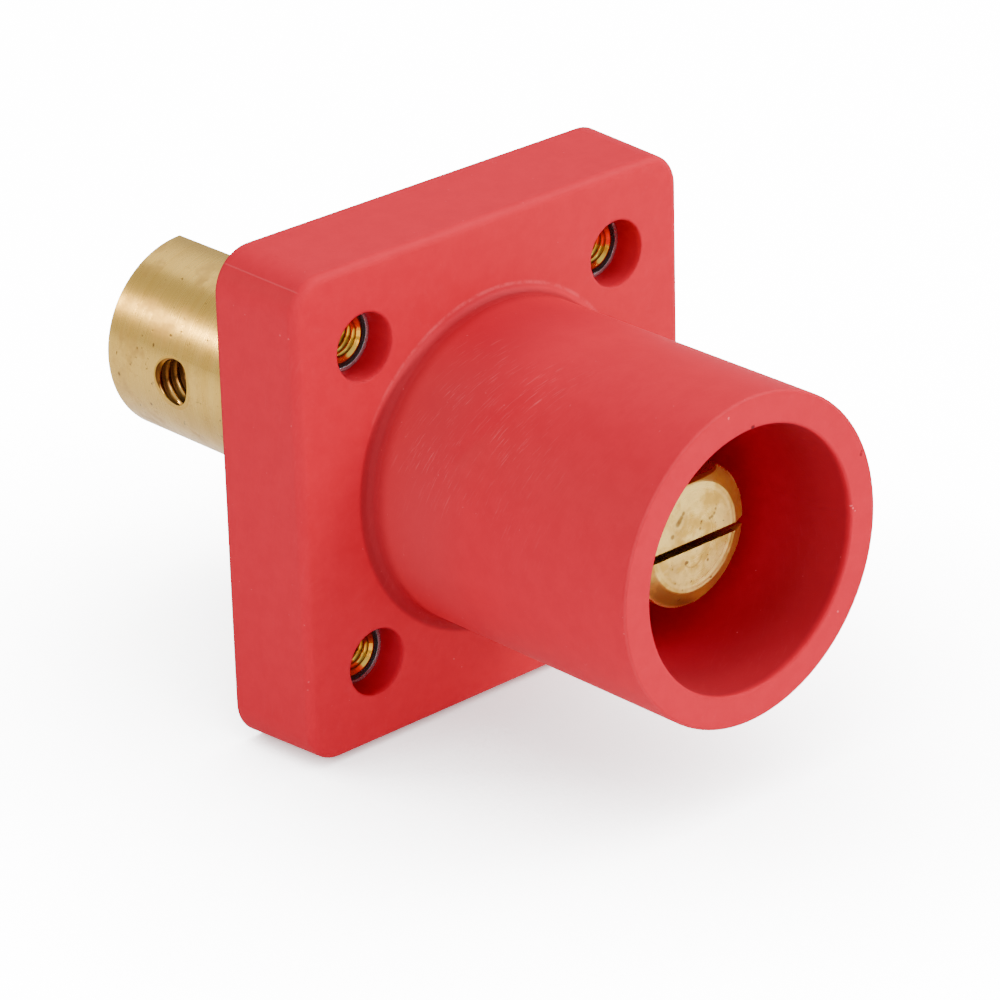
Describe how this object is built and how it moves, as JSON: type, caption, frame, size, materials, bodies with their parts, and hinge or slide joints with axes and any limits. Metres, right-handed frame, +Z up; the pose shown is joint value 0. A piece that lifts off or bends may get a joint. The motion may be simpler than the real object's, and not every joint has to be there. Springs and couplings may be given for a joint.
{
  "type": "single pole cam lock connector",
  "caption": "Panel mounted single pole power receptacle: a square flanged red body with a round sleeve, a slotted brass cam pin and a set screw cable barrel.",
  "frame": {"origin": "on the contact's axis, in the plane of the flange's back, at the centre of the mounting holes", "axes": "+Y along the contact's axis towards the cable barrel, behind the panel; the sleeve and pin point along -Y; +Z is up, with the key notch on top"},
  "size_m": [0.0572, 0.092, 0.0572],
  "materials": {
    "red_moulding": "moulded, matte with light scuffs",
    "contact_brass": "turned, slightly tarnished",
    "insert_brass": "turned, bright",
    "plated_steel": "zinc plated",
    "spring_steel": "phosphated spring steel"
  },
  "bodies": {
    "root": {"insulator_body": "red_moulding", "brass_contact": "contact_brass", "contact_washer": "plated_steel", "retaining_ring": "spring_steel", "mounting_insert_top_left": "insert_brass", "insert_washer_top_left": "plated_steel", "mounting_insert_top_right": "insert_brass", "insert_washer_top_right": "plated_steel", "mounting_insert_bottom_left": "insert_brass", "insert_washer_bottom_left": "plated_steel", "mounting_insert_bottom_right": "insert_brass", "insert_washer_bottom_right": "plated_steel"}
  },
  "joints": []
}
